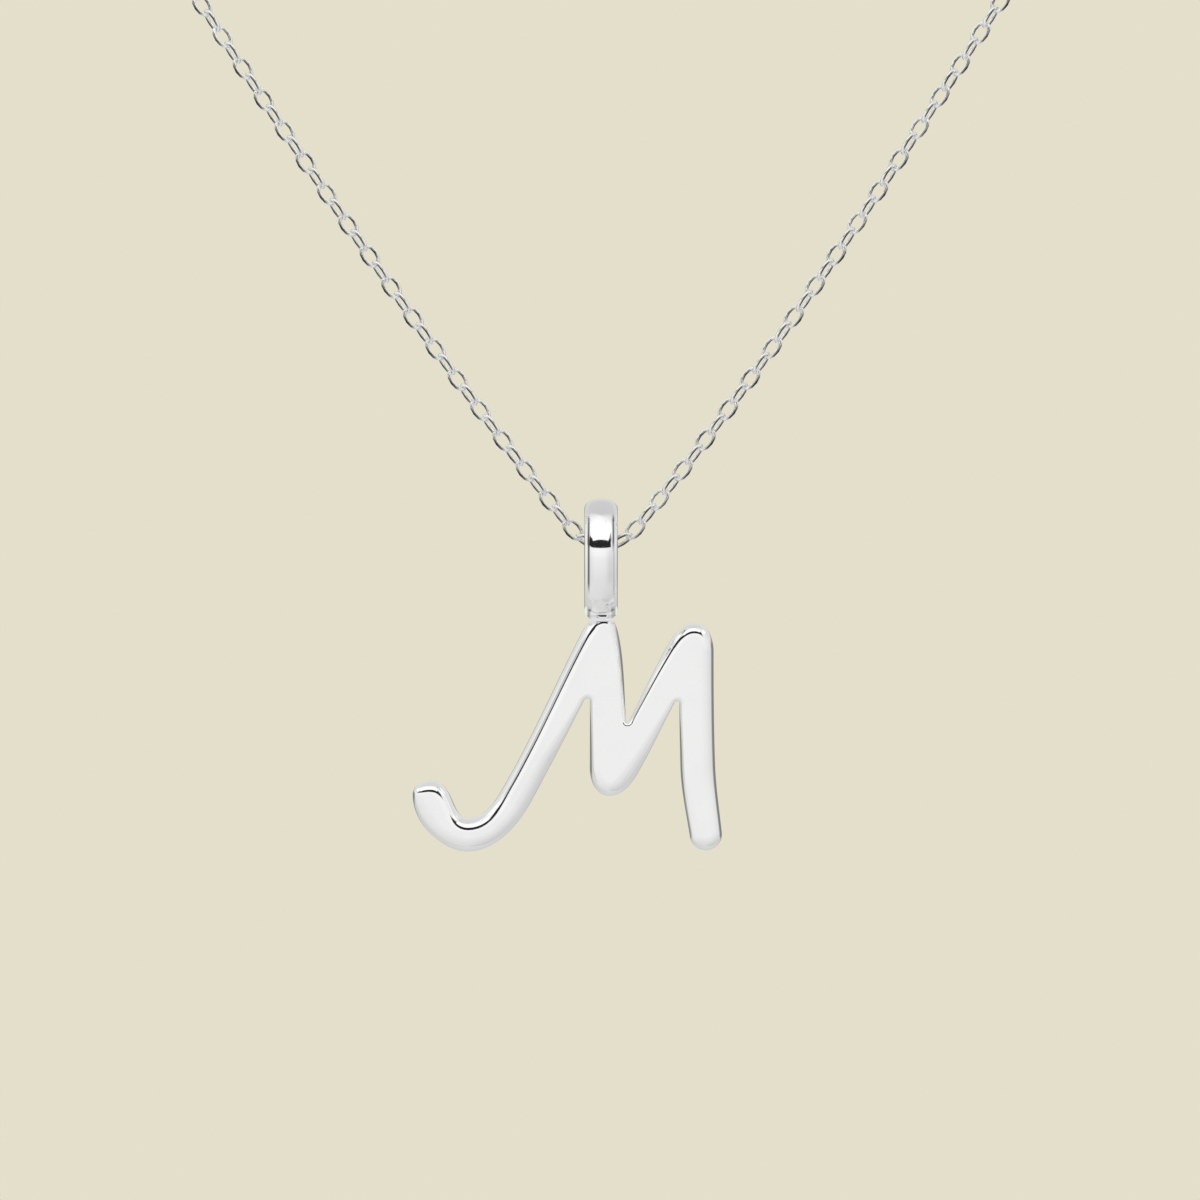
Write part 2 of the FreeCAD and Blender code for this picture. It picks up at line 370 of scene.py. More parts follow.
@dataclass
class RingBail:
    """The bail: a broad ring with a crowned outside, seen edge-on from the front."""

    middle_below_hang: float = 0.74 * MM
    outer_radius: float = 3.56 * MM
    bore_radius: float = 1.96 * MM
    width: float = 2.0 * MM
    crown_radius: float = 1.9 * MM
    edge_radius: float = 0.42 * MM
    bore_edge_radius: float = 0.15 * MM
    corner_steps: int = 8
    crown_cuts: int = 9
    turns: int = 144

    def build(self) -> bpy.types.Object:
        """Round and crown a flat section, then spin it about the chain's line.

        Returns:
            The closed ring.
        """
        middle = HANG - Vector((0.0, 0.0, self.middle_below_hang))
        wall = self.outer_radius - self.bore_radius
        section_middle = middle + Vector((0.0, 0.0, self.bore_radius + wall / 2))
        Bench.clear()
        bpy.ops.mesh.primitive_plane_add(
            size=1.0, location=section_middle, rotation=(math.pi / 2, 0.0, 0.0))
        bail = bpy.context.object
        bail.scale = (self.width, wall, 1.0)
        Bench.settle(bail, "bail")
        bpy.ops.object.mode_set(mode="EDIT")
        for outer, radius in ((True, self.edge_radius), (False, self.bore_edge_radius)):
            Bench.pick(bail, "verts", lambda corner: (corner.co.z > section_middle.z) == outer
                       and len(corner.link_edges) == 2)
            bpy.ops.mesh.bevel(offset=radius, segments=self.corner_steps, affect="VERTICES")
        top = middle.z + self.outer_radius
        Bench.pick(bail, "edges", lambda edge: all(
            abs(end.co.z - top) < 2 * MERGED for end in edge.verts))
        bpy.ops.mesh.subdivide(number_cuts=self.crown_cuts)
        bpy.ops.mesh.select_all(action="SELECT")
        bpy.ops.mesh.delete(type="ONLY_FACE")
        edit = bmesh.from_edit_mesh(bail.data)
        for vertex in edit.verts:
            share = (vertex.co.z - middle.z - self.bore_radius) / wall
            drop = self.crown_radius - math.sqrt(self.crown_radius ** 2 - vertex.co.x ** 2)
            vertex.co.z -= drop * max(0.0, share) ** 2
        bmesh.update_edit_mesh(bail.data)
        bpy.ops.mesh.select_all(action="SELECT")
        bpy.ops.mesh.spin(steps=self.turns, angle=math.tau, center=middle, axis=(1.0, 0.0, 0.0))
        bpy.ops.object.mode_set(mode="OBJECT")
        Bench.face_outwards(bail)
        return bail


@dataclass
class SolderNeck:
    """The solder between the bail and the first apex: a waisted block that flares into both."""

    waist_below_hang: float = 4.42 * MM
    reach_up: float = 0.8 * MM
    reach_down: float = 0.26 * MM
    half_width: float = 0.72 * MM
    half_depth: float = 0.74 * MM
    # Over the waist the depth grows with the rise squared, up to a rise, and the width with it
    upper_flare: float = 6.8 / MM
    upper_flare_ends: float = 0.26 * MM
    widening: float = 0.24 * MM
    # Under it the width grows and the depth shrinks with the fall squared
    lower_flare: float = 1.4 / MM
    thinning: float = 2.6 / MM
    corner_radius: float = 0.50 * MM
    corner_steps: int = 8
    level_cuts: int = 15

    def build(self) -> bpy.types.Object:
        """Round a block's upright edges and pull its waist in.

        Returns:
            The closed neck.
        """
        Bench.clear()
        waist = HANG - Vector((0.0, 0.0, self.waist_below_hang))
        middle = waist + Vector((0.0, 0.0, (self.reach_up - self.reach_down) / 2))
        height = self.reach_up + self.reach_down
        bpy.ops.mesh.primitive_cube_add(size=1.0, location=middle)
        neck = bpy.context.object
        neck.scale = (self.half_width * 2, self.half_depth * 2, height)
        Bench.settle(neck, "solder_neck")

        def upright(edge: bmesh.types.BMEdge) -> bool:
            """Whether an edge of the block stands upright."""
            first, last = edge.verts
            return abs(first.co.z - last.co.z) > height / 2

        bpy.ops.object.mode_set(mode="EDIT")
        Bench.pick(neck, "edges", upright)
        bpy.ops.mesh.bevel(offset=self.corner_radius, segments=self.corner_steps, affect="EDGES")
        Bench.pick(neck, "edges", upright)
        bpy.ops.mesh.subdivide_edgering(number_cuts=self.level_cuts)
        edit = bmesh.from_edit_mesh(neck.data)
        for vertex in edit.verts:
            rise = vertex.co.z - waist.z
            if rise > 0:
                reached = min(rise, self.upper_flare_ends)
                widen = self.widening * (reached / self.upper_flare_ends) ** 2
                deepen = self.upper_flare * reached ** 2
            else:
                widen = self.lower_flare * rise ** 2
                deepen = -self.thinning * rise ** 2
            vertex.co.x *= 1.0 + widen / self.half_width
            vertex.co.y = HANG.y + (vertex.co.y - HANG.y) * (1.0 + deepen / self.half_depth)
        bmesh.update_edit_mesh(neck.data)
        bpy.ops.object.mode_set(mode="OBJECT")
        return neck


@dataclass
class InitialPendant:
    """Letter, bail and solder, fused into one cast piece."""

    smooth_angle: float = math.radians(38.0)

    def build(self) -> bpy.types.Object:
        """Fuse the three forms.

        Returns:
            The pendant, on the pendant's body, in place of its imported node.
        """
        pendant = ScriptLetter().build()
        Bench.unite(pendant, SolderNeck().build())
        Bench.unite(pendant, RingBail().build())
        Bench.settle(pendant, "letter_and_bail")
        bpy.ops.object.shade_smooth_by_angle(angle=self.smooth_angle)
        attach(pendant, Body.PENDANT.value)
        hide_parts(Node.PENDANT.value)
        return pendant


@dataclass
class CableChain:
    """The chain: oval links, each turned about a quarter from the last, along one hanging loop."""

    link_length: float = 1.61 * MM
    link_width: float = 1.07 * MM
    wire: float = 0.22 * MM
    pitch: float = 1.134 * MM
    middle_x: float = 0.2 * MM
    roll: float = math.radians(20.0)
    cross_roll: float = math.radians(-62.0)
    roll_jitter: float = math.radians(3.0)
    twist_from: float = 70.0 * MM
    # How far the last link passes the line's end, and how far the line is drawn on
    end_reach: float = 0.13 * MM
    overrun: float = 2.6 * MM
    # How much nearer to the middle link its neighbours hang
    bend_slack: float = 0.05 * MM
    link_stations: int = 12
    wire_sides: int = 6
    # Painted shade: the long sides of the wire that face down, forwards and outwards are painted
    # near-black, standing in for dark reflections
    painted_shade_towards: tuple[float, float, float] = (-0.62, -0.40, -0.68)
    painted_shade_from: float = 0.25
    painted_shade_full: float = 0.6
    painted_shade_along: tuple[float, float] = (0.5, 0.95)
    curve_steps: int = 48
    seed: int = 7

    # From the bail over the shoulders to the clasp, for both halves: x, y, z in millimetres
    shared_route: tuple[tuple[float, float, float], ...] = (
        (36.00, -108.0, -52.0),
        (47.00, -96.5, -32.5),
        (55.50, -77.0, -17.0),
        (58.50, -53.0, -7.5),
        (53.00, -30.0, -3.0),
        (38.50, -11.8, -1.0),
        (20.50, -2.0, -0.2),
        (4.25, 0.0, 0.0),
    )
    # The lower part of each half, which hangs a little wider on the right
    right_route: tuple[tuple[float, float, float], ...] = (
        (1.22, -112.0, -104.06),
        (3.09, -112.0, -101.75),
        (7.08, -112.0, -96.62),
        (13.90, -112.0, -86.97),
        (24.75, -111.4, -70.2),
    )
    left_route: tuple[tuple[float, float, float], ...] = (
        (-0.92, -112.0, -104.06),
        (-2.74, -112.0, -101.75),
        (-6.72, -112.0, -96.62),
        (-13.72, -112.0, -86.97),
        (-24.95, -111.4, -70.2),
    )

    def line(self) -> np.ndarray:
        """The chain's line, read from a smooth curve that the route's points control.

        Returns:
            Closely spaced points from the left end to the right one.
        """
        shoulder = [Vector(row) * MM for row in self.shared_route]
        right = [Vector(row) * MM for row in self.right_route] + shoulder
        left = [Vector((-point.x, point.y, point.z)) for point in reversed(shoulder)]
        left += [Vector(row) * MM for row in reversed(self.left_route)]
        curve = bpy.data.curves.new("chain_route", "CURVE")
        curve.dimensions = "3D"
        spline = curve.splines.new("NURBS")
        route = left + right
        spline.points.add(len(route) - 1)
        for point, place in zip(spline.points, route):
            point.co = (*place, 1.0)
        spline.order_u = 3
        spline.use_endpoint_u = True
        spline.resolution_u = self.curve_steps
        carrier = bpy.data.objects.new("chain_route", curve)
        bpy.context.scene.collection.objects.link(carrier)
        bpy.context.view_layer.update()
        mesh = bpy.data.meshes.new_from_object(carrier)
        points = np.array([vertex.co for vertex in mesh.vertices])
        bpy.data.meshes.remove(mesh)
        bpy.data.objects.remove(carrier, do_unlink=True)
        bpy.data.curves.remove(curve)
        return points

    def model_link(self) -> tuple[np.ndarray, ...]:
        """Model one oval link lying in XY, its length along X.

        Returns:
            Its vertices, their normals, its faces and how much each vertex is on a long side, where the
            painted shade goes.
        """
        Bench.clear()
        bpy.ops.mesh.primitive_torus_add(
            major_segments=self.link_stations, minor_segments=self.wire_sides,
            major_radius=1.0 * MM, minor_radius=self.wire / 2)
        link = bpy.context.object
        half_length = (self.link_length - self.wire) / 2
        half_width = (self.link_width - self.wire) / 2
        aside = []
        for vertex in link.data.vertices:
            angle = math.atan2(vertex.co.y, vertex.co.x)
            aside.append(abs(math.sin(angle)))
            round_way = Vector((math.cos(angle), math.sin(angle), 0.0))
            across = Vector((half_width * math.cos(angle), half_length * math.sin(angle), 0.0)).normalized()
            outwards = vertex.co.dot(round_way) - MM
            middle = Vector((half_length * math.cos(angle), half_width * math.sin(angle), 0.0))
            vertex.co = middle + across * outwards + Vector((0.0, 0.0, vertex.co.z))
        link.data.update()
        vertices = np.array([vertex.co for vertex in link.data.vertices])
        normals = np.array([vertex.normal for vertex in link.data.vertices])
        faces = np.array([face.vertices for face in link.data.polygons])
        bpy.data.objects.remove(link, do_unlink=True)
        # How much painted shade each vertex may take, by how far it is on a long side
        low, high = self.painted_shade_along
        return vertices, normals, faces, np.clip((np.array(aside) - low) / (high - low), 0.0, 1.0)

    def half_frames(self, line: np.ndarray, side: float) -> list[tuple[np.ndarray, ...]]:
        """Places and turns of the links from the bail to one end.

        Args:
            line: closely spaced points of the whole chain.
            side: 1 for the right half, -1 for the left.

        Returns:
            For each link its middle, its length's direction and its width's direction.
        """
        front = line[:, 1] < HANG.y / 2
        start = np.array([
            np.interp(self.middle_x, line[front, 0], line[front, axis]) for axis in range(3)])
        middle = np.flatnonzero(front & (line[:, 0] < self.middle_x))[-1]
        half = line[middle + 1:] if side > 0 else line[:middle + 1][::-1]
        half = np.vstack([start, half])
        last_way = half[-1] - half[-2]
        half = np.vstack([half, half[-1] + last_way / np.linalg.norm(last_way) * self.overrun])
        run = np.concatenate([[0.0], np.cumsum(np.linalg.norm(np.diff(half, axis=0), axis=1))])
        reach = run[-1] - self.overrun + self.end_reach
        count = round(reach / self.pitch)
        pitch = (reach + self.bend_slack) / count

        def at(distance: float) -> np.ndarray:
            """The place at a distance along the half, mirrored beyond its start.

            Args:
                distance: how far from the start, under 0 on the other half.

            Returns:
                The place.
            """
            place = np.array([np.interp(abs(distance), run, half[:, axis]) for axis in range(3)])
            if distance < 0:
                place[0] = 2 * self.middle_x - place[0]
            return place

        frames = []
        upright, way = np.array([0.0, 0.0, 1.0]), np.array([side, 0.0, 0.0])
        for index in range(count + 1):
            slack = self.bend_slack if index else 0.0
            back, ahead = at((index - 0.5) * pitch - slack), at((index + 0.5) * pitch - slack)
            new_way = (ahead - back) / np.linalg.norm(ahead - back)
            axis = np.cross(way, new_way)
            if np.linalg.norm(axis) > 1e-9:
                turn = Vector(way).rotation_difference(Vector(new_way))
                upright = np.array(turn @ Vector(upright))
            upright -= new_way * upright.dot(new_way)
            upright /= np.linalg.norm(upright)
            way = new_way
            # The middle link hangs in the bend itself, clear of its neighbours
            place = (back + ahead) / 2 if index else start
            frames.append((place, way.copy(), upright.copy()))
        forward = np.cross(frames[-1][1], frames[-1][2]) * -side
        last_roll = self.link_roll(count)
        width = frames[-1][2] * math.cos(last_roll) + forward * math.sin(last_roll)
        wanted = np.array([0.0, 1.0, 0.0])
        across = np.cross(frames[-1][1], width)
        error = math.atan2(wanted.dot(across), wanted.dot(width))
        error = (error + math.pi / 2) % math.pi - math.pi / 2
        draw = np.random.default_rng(self.seed + (side > 0))
        placed = []
        for index, (place, way, upright) in enumerate(frames):
            forward = np.cross(way, upright) * -side
            roll = self.link_roll(index)
            width = upright * math.cos(roll) + forward * math.sin(roll)
            share = max(0.0, index * pitch - self.twist_from) / (reach - self.twist_from)
            twist = error * share + draw.normal(0.0, self.roll_jitter) * (0 < index < count)
            width = width * math.cos(twist) + np.cross(way, width) * math.sin(twist)
            placed.append((place, way, width))
        return placed

    def link_roll(self, index: int) -> float:
        """How far a link's width is turned from upright, by turns one way and the other."""
        return self.roll if index % 2 == 0 else self.cross_roll

    def build(self) -> bpy.types.Object:
        """Copy the link along both halves and join the copies.

        Returns:
            The chain, on the necklace's body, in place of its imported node.
        """
        line = self.line()
        vertices, normals, faces, long_side = self.model_link()
        frames = self.half_frames(line, 1.0) + self.half_frames(line, -1.0)[1:]
        copies, shade_per_link = [], []
        for place, way, width in frames:
            turn = np.stack([way, width, np.cross(way, width)])
            copies.append(vertices @ turn + place)
            # Painted shade by how far each normal faces down, forwards and outwards, mirrored on the two
            # halves
            towards = np.array(self.painted_shade_towards)
            towards[0] *= 1.0 if place[0] < self.middle_x else -1.0
            facing = (normals @ turn) @ (towards / np.linalg.norm(towards))
            painted_shade = np.clip((facing - self.painted_shade_from) / (self.painted_shade_full - self.painted_shade_from), 0.0, 1.0)
            shade_per_link.append(painted_shade * long_side)
        offsets = np.arange(len(copies)) * len(vertices)
        all_faces = (faces[None, :, :] + offsets[:, None, None]).reshape(-1, faces.shape[1])
        mesh = bpy.data.meshes.new("chain_links")
        mesh.from_pydata(np.concatenate(copies).tolist(), [], all_faces.tolist())
        painted_shade = mesh.attributes.new(PAINTED_SHADE_SIDE, "FLOAT", "POINT")
        painted_shade.data.foreach_set("value", np.concatenate(shade_per_link).astype(np.float32))
        chain = bpy.data.objects.new("chain_links", mesh)
        bpy.context.scene.collection.objects.link(chain)
        Bench.take(chain)
        bpy.ops.object.shade_smooth()
        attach(chain, Body.NECKLACE.value)
        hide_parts(Node.CHAIN.value)
        log.info("chain: %d links", len(copies))
        return chain


@dataclass
class RingClasp:
    """The closed clasp at the nape: a ring with an eye at each side."""

    ring_radius: float = 2.0 * MM
    ring_wire: float = 0.5 * MM
    eye_offset: float = 3.2 * MM
    eye_radius: float = 0.65 * MM
    eye_wire: float = 0.18 * MM
    ring_mesh: tuple[int, int] = (72, 16)
    eye_mesh: tuple[int, int] = (32, 10)
    smooth_angle: float = math.radians(35.0)

    def torus(self, offset: float, major: float, minor: float,
              mesh: tuple[int, int]) -> bpy.types.Object:
        """Add an upright ring that faces the front.

        Args:
            offset: its middle's x.
            major: radius to the middle of its wire.
            minor: radius of its wire.
            mesh: faces round the ring and round its wire.

        Returns:
            The ring.
        """
        Bench.clear()
        bpy.ops.mesh.primitive_torus_add(
            location=(offset, 0.0, 0.0), rotation=(math.pi / 2, 0.0, 0.0), major_segments=mesh[0],
            minor_segments=mesh[1], major_radius=major, minor_radius=minor)
        ring = bpy.context.object
        Bench.settle(ring, "ring")
        return ring

    def build(self) -> bpy.types.Object:
        """Fuse the three rings.

        Returns:
            The clasp, on the necklace's body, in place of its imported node.
        """
        clasp = self.torus(0.0, self.ring_radius, self.ring_wire, self.ring_mesh)
        for offset in (-self.eye_offset, self.eye_offset):
            Bench.unite(clasp, self.torus(offset, self.eye_radius, self.eye_wire, self.eye_mesh))
        Bench.settle(clasp, "ring_clasp")
        bpy.ops.object.shade_smooth_by_angle(angle=self.smooth_angle)
        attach(clasp, Body.NECKLACE.value)
        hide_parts(Node.CLASP.value)
        return clasp


@dataclass
class NodeSheet:
    """A node tree with short ways to place and join its nodes."""

    tree: bpy.types.NodeTree

    def add(self, kind: str, **settings: object) -> bpy.types.Node:
        """Add a node and set its properties.

        Args:
            kind: the node's type name.
            settings: property names and values.

        Returns:
            The node.
        """
        node = self.tree.nodes.new(kind)
        for name, value in settings.items():
            setattr(node, name, value)
        return node

    def join(self, source: object, target: bpy.types.NodeSocket) -> None:
        """Link a socket, or set a plain value.

        Args:
            source: an output socket or a value.
            target: the input socket.
        """
        if isinstance(source, bpy.types.NodeSocket):
            self.tree.links.new(source, target)
        else:
            target.default_value = source

    def split(self, vector: bpy.types.NodeSocket) -> tuple[bpy.types.NodeSocket, ...]:
        """Split a vector into its three numbers.

        Args:
            vector: the vector's socket.

        Returns:
            Its x, y and z.
        """
        node = self.add("ShaderNodeSeparateXYZ")
        self.join(vector, node.inputs[0])
        return tuple(node.outputs)

    def math(self, operation: str, *values: object) -> bpy.types.NodeSocket:
        """Place a Math node.

        Args:
            operation: the node's operation.
            values: one to three sockets or numbers.

        Returns:
            Its output.
        """
        node = self.add("ShaderNodeMath", operation=operation)
        for socket, value in zip(node.inputs, values):
            self.join(value, socket)
        return node.outputs[0]

    def step(self, value: object, low: float, high: float,
             form: str = "SMOOTHSTEP") -> bpy.types.NodeSocket:
        """Rise from 0 to 1 between two values.

        Args:
            value: the socket that is tested.
            low: where it is still 0.
            high: where it has reached 1.
            form: "SMOOTHSTEP" or "LINEAR".

        Returns:
            The step.
        """
        node = self.add("ShaderNodeMapRange", interpolation_type=form)
        self.join(value, node.inputs["Value"])
        node.inputs["From Min"].default_value = low
        node.inputs["From Max"].default_value = high
        return node.outputs["Result"]

    def band(self, value: object, low: float, high: float, soft: float) -> bpy.types.NodeSocket:
        """Be 1 between two values and 0 outside, with soft sides.

        Args:
            value: the socket that is tested.
            low: where the band starts.
            high: where it ends.
            soft: the width of each side.

        Returns:
            The band.
        """
        rise = self.step(value, low - soft / 2, low + soft / 2)
        fall = self.step(value, high - soft / 2, high + soft / 2)
        return self.math("SUBTRACT", rise, fall)

    def blend(self, share: object, first: object, second: object,
              kind: str = "FLOAT") -> bpy.types.NodeSocket:
        """Mix two numbers or two colours.

        Args:
            share: 0 for the first, 1 for the second.
            first: a socket or value.
            second: a socket or value.
            kind: "FLOAT" for numbers, "RGBA" for colours.

        Returns:
            The mix.
        """
        node = self.add("ShaderNodeMix", data_type=kind)
        pair, mix = (6, 2) if kind == "RGBA" else (2, 0)
        for socket, value in zip((0, pair, pair + 1), (share, first, second)):
            self.join(value, node.inputs[socket])
        return node.outputs[mix]

    def curve(self, value: object, stops: tuple[tuple[float, float], ...]) -> bpy.types.NodeSocket:
        """Read a number off a ramp of grey stops.

        Args:
            value: the socket that is looked up.
            stops: (value, grey) pairs in rising order, over the whole range.

        Returns:
            The grey.
        """
        low, high = stops[0][0], stops[-1][0]
        ramp = self.add("ShaderNodeValToRGB")
        self.join(self.step(value, low, high, "LINEAR"), ramp.inputs["Fac"])
        elements = ramp.color_ramp.elements
        while len(elements) < len(stops):
            elements.new(0.5)
        for element, (place, grey) in zip(elements, stops):
            element.position = (place - low) / (high - low)
            element.color = (grey, grey, grey, 1.0)
        return ramp.outputs["Color"]


@dataclass(frozen=True)
class Shade:
    """A patch of painted shade on the metal, for dark reflections and shadow, in millimetres of the frame's
    x and z, that ends softly.
    """

    across: float
    half_width: float
    levels: tuple[float, float]
    softness: tuple[float, float]
    grey: float

    def lay(self, sheet: NodeSheet, under: object, x: object, z: object) -> bpy.types.NodeSocket:
        """Lay the painted shade over a colour.

        Args:
            sheet: the material's tree.
            under: the colour's socket.
            x: the socket of the place's x.
            z: the socket of its z.

        Returns:
            The colour with the patch in it.
        """
        sides = (self.across - self.half_width) * MM, (self.across + self.half_width) * MM
        share = sheet.band(x, *sides, self.softness[0] * MM)
        low, high = self.levels
        share = sheet.math("MULTIPLY", share, sheet.band(z, low * MM, high * MM, self.softness[1] * MM))
        return sheet.blend(share, under, (self.grey, self.grey, self.grey, 1.0), "RGBA")


@dataclass(frozen=True)
class SilverFinish:
    """One silver finish: its colour, its polish, its finest marks and any painted shade on it."""

    name: str
    colour: tuple[float, float, float]
    recess_colour: tuple[float, float, float]
    roughness: float
    roughness_spread: float
    mark_scale: float
    mark_depth: float
    # The near-black colour of the painted shade on the chain's wire sides
    painted_shade_colour: tuple[float, float, float] | None = None
    # Patches of painted shade, for dark reflections and shadow, laid by place
    painted_shades: tuple[Shade, ...] = ()

    def material(self) -> bpy.types.Material:
        """Make the material.

        Returns:
            A metal whose tone, polish and marks come from the shared group, with any painted shade laid
            over its colour.
        """
        material = bpy.data.materials.new(self.name)
        material.use_nodes = True
        sheet = NodeSheet(material.node_tree)
        shader = material.node_tree.nodes["Principled BSDF"]
        shader.inputs["Metallic"].default_value = 1.0
        coordinates = sheet.add("ShaderNodeTexCoord")
        group = sheet.add("ShaderNodeGroup", node_tree=polish_group())
        given = (coordinates.outputs["Object"], (*self.colour, 1.0), (*self.recess_colour, 1.0),
                 self.roughness, self.roughness_spread, self.mark_scale)
        for value, socket in zip(given, group.inputs):
            sheet.join(value, socket)
        bump = sheet.add("ShaderNodeBump")
        bump.inputs["Strength"].default_value = 1.0
        bump.inputs["Distance"].default_value = self.mark_depth
        sheet.join(group.outputs["Height"], bump.inputs["Height"])
        colour = group.outputs["Colour"]
        # Painted shade on the wire's lower sides, where the chain's attribute says
        if self.painted_shade_colour:
            side = sheet.add("ShaderNodeAttribute", attribute_name=PAINTED_SHADE_SIDE)
            share = sheet.step(side.outputs["Fac"], 0.0, 1.0)
            colour = sheet.blend(share, colour, (*self.painted_shade_colour, 1.0), "RGBA")
        # Patches of painted shade laid over the colour by place
        if self.painted_shades:
            x, _, z = sheet.split(coordinates.outputs["Object"])
            for shade in self.painted_shades:
                colour = shade.lay(sheet, colour, x, z)
        sheet.join(colour, shader.inputs["Base Color"])
        sheet.join(group.outputs["Roughness"], shader.inputs["Roughness"])
        sheet.join(bump.outputs["Normal"], shader.inputs["Normal"])
        return material

    def dress(self, piece: bpy.types.Object) -> None:
        """Give a piece this finish alone."""
        piece.data.materials.clear()
        piece.data.materials.append(self.material())


def polish_group() -> bpy.types.NodeTree:
    """The shared group that varies a polished metal's tone, polish and finest marks.

    Returns:
        The group, made once.
    """
    name = "polished metal"
    if name in bpy.data.node_groups:
        return bpy.data.node_groups[name]
    tree = bpy.data.node_groups.new(name, "ShaderNodeTree")
    face = tree.interface
    face.new_socket("Vector", in_out="INPUT", socket_type="NodeSocketVector")
    for label in ("Colour", "Recess Colour"):
        face.new_socket(label, in_out="INPUT", socket_type="NodeSocketColor")
    for label in ("Roughness", "Roughness Spread", "Mark Scale"):
        face.new_socket(label, in_out="INPUT", socket_type="NodeSocketFloat")
    face.new_socket("Colour", in_out="OUTPUT", socket_type="NodeSocketColor")
    for label in ("Roughness", "Height"):
        face.new_socket(label, in_out="OUTPUT", socket_type="NodeSocketFloat")
    sheet = NodeSheet(tree)
    given = sheet.add("NodeGroupInput").outputs
    result = sheet.add("NodeGroupOutput").inputs

    cloud = sheet.add("ShaderNodeTexNoise")
    sheet.join(given["Vector"], cloud.inputs["Vector"])
    cloud.inputs["Scale"].default_value = 420.0
    cloud.inputs["Detail"].default_value = 3.0
    tone = sheet.step(cloud.outputs["Fac"], 0.35, 0.75)

    stretched = sheet.add("ShaderNodeMapping")
    sheet.join(given["Vector"], stretched.inputs["Vector"])
    stretched.inputs["Rotation"].default_value = (0.0, math.radians(35.0), 0.0)
    stretched.inputs["Scale"].default_value = (1.0, 1.0, 0.12)
    marks = sheet.add("ShaderNodeTexNoise")
    sheet.join(stretched.outputs["Vector"], marks.inputs["Vector"])
    sheet.join(given["Mark Scale"], marks.inputs["Scale"])
    marks.inputs["Detail"].default_value = 2.0

    share = sheet.math("MULTIPLY", tone, 0.5)
    colour = sheet.blend(share, given["Colour"], given["Recess Colour"], "RGBA")
    spread = sheet.math("MULTIPLY", given["Roughness Spread"], tone)
    scuffs = sheet.math("MULTIPLY", given["Roughness Spread"], marks.outputs["Fac"])
    rough = sheet.math("ADD", given["Roughness"], sheet.math("ADD", spread, scuffs))
    sheet.join(colour, result["Colour"])
    sheet.join(rough, result["Roughness"])
    sheet.join(marks.outputs["Fac"], result["Height"])
    return tree


# Painted shade on the bail and solder, by place
BAIL_PAINTED_SHADES = (
    # Painted shade on the flanks of the crown, darkening their reflection
    Shade(-0.60, 0.10, (-106.2, -104.2), (0.30, 0.8), 0.84),
    Shade(0.58, 0.20, (-106.2, -104.2), (0.36, 0.8), 0.80),
    # Painted dark lines where the crown meets the rims, standing in for dark reflections there
    Shade(-0.735, 0.06, (-106.6, -102.3), (0.09, 0.9), 0.15),
    Shade(0.735, 0.055, (-104.2, -102.1), (0.09, 0.9), 0.15),
    Shade(0.77, 0.035, (-107.0, -104.2), (0.06, 0.9), 0.60),
    # Painted shade in the corners and on the foot over the solder, and a painted shadow line under it
    Shade(-0.72, 0.10, (-108.34, -107.75), (0.12, 0.3), 0.42),
    Shade(0.74, 0.13, (-108.30, -107.7), (0.12, 0.3), 0.50),
    Shade(0.0, 0.62, (-108.26, -107.96), (0.2, 0.08), 0.84),
    Shade(0.10, 0.36, (-108.61, -108.56), (0.12, 0.03), 0.15),
    # Painted shade on the top, dimming its reflection
    Shade(0.0, 1.3, (-102.2, -100.5), (0.12, 0.3), 0.83),
)

# The pendant's polished metal, with the bail's painted shade laid over it
POLISHED = SilverFinish(
    "polished silver", (0.955, 0.953, 0.948), (0.90, 0.90, 0.90), 0.045, 0.03, 2600.0, 0.0000002,
    None, BAIL_PAINTED_SHADES)
# The wire's last colour, near black, is painted shade on the lower sides of its links
DRAWN = SilverFinish(
    "drawn silver wire", (0.985, 0.983, 0.978), (0.94, 0.935, 0.925), 0.20, 0.04, 1800.0, 0.00000005,
    (0.03, 0.027, 0.022))
WORN = SilverFinish(
    "worn silver", (0.94, 0.935, 0.925), (0.82, 0.81, 0.79), 0.10, 0.08, 3000.0, 0.000001)


@dataclass(frozen=True)
class Card:
    """A light or dark card that the silver mirrors, by the directions that it covers."""

    azimuth: tuple[float, float]
    elevation: tuple[float, float]
    grey: float
    strength: float
    softness: tuple[float, float]

    def lay(self, sheet: NodeSheet, under: object, azimuth: object,
            elevation: object) -> bpy.types.NodeSocket:
        """Lay the card over what is already there.

        Args:
            sheet: the world's tree.
            under: the grey so far.
            azimuth: the direction's turn from the camera, in degrees.
            elevation: its rise over the horizon, in degrees.

        Returns:
            The grey with the card in it.
        """
        across = sheet.band(azimuth, *self.azimuth, self.softness[0])
        up = sheet.band(elevation, *self.elevation, self.softness[1])
        share = sheet.math("MULTIPLY", sheet.math("MULTIPLY", across, up), self.strength)
        return sheet.blend(share, under, self.grey)


